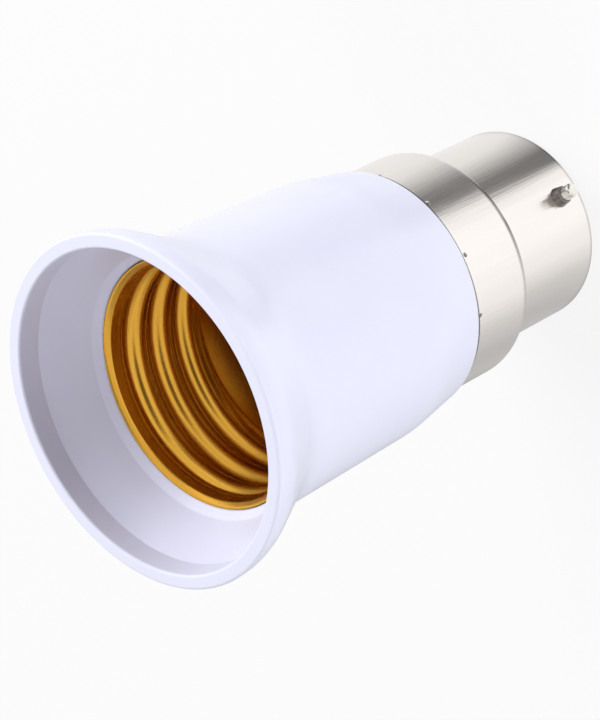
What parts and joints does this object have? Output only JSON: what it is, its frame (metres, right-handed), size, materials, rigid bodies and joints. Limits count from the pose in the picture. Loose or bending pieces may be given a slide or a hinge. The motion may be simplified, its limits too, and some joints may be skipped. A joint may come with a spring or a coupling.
{
  "type": "lamp socket adapter",
  "caption": "Adapter with a plated bayonet cap at one end and a gold screw lamp socket in a flared white bell mouth at the other, with a sprung centre contact.",
  "frame": {"origin": "centre of the bayonet cap's end plane, on which the adapter stands", "axes": "+Z along the axis from the cap to the mouth; X through the two bayonet pins; Y through the two end contacts"},
  "size_m": [0.0374, 0.0374, 0.0602],
  "materials": {
    "white_plastic": "glossy moulded, slightly cool white",
    "gold_sheet": "polished gold-coloured rolled sheet",
    "spring_bronze": "satin spring strip",
    "rivet_brass": "polished",
    "tag_brass": "satin",
    "nickel_plate": "bright nickel plate with fine draw lines",
    "pin_nickel": "turned and nickel plated",
    "dark_insulator": "moulded, matt",
    "tinned_wire": "tinned",
    "live_sleeve": "soft sleeve",
    "neutral_sleeve": "soft sleeve",
    "eyelet_brass": "bright",
    "solder": "satin solder"
  },
  "bodies": {
    "adapter": {"housing": "white_plastic", "screw_shell": "gold_sheet", "centre_rivet": "rivet_brass", "shell_rivet_a": "rivet_brass", "shell_rivet_b": "rivet_brass", "live_tag": "tag_brass", "neutral_tag": "tag_brass", "bayonet_cap": "nickel_plate", "bayonet_pin_front": "pin_nickel", "bayonet_pin_back": "pin_nickel", "end_insulator": "dark_insulator", "live_conductor": "tinned_wire", "neutral_conductor": "tinned_wire", "live_insulation": "live_sleeve", "neutral_insulation": "neutral_sleeve", "live_tag_solder": "solder", "neutral_tag_solder": "solder", "live_end_contact": "eyelet_brass", "neutral_end_contact": "eyelet_brass", "live_end_solder": "solder", "neutral_end_solder": "solder"},
    "contact_leaf": {"centre_contact": "spring_bronze"}
  },
  "joints": [
    {"name": "contact_flex", "type": "hinge", "parent": "adapter", "child": "contact_leaf", "pos_m": [-0.0052, 0, 0.0305], "axis": [0, 1, 0], "range_deg": [0, 12], "stiffness_Nm_per_rad": 0.08, "deforming": ["centre_contact"]}
  ]
}
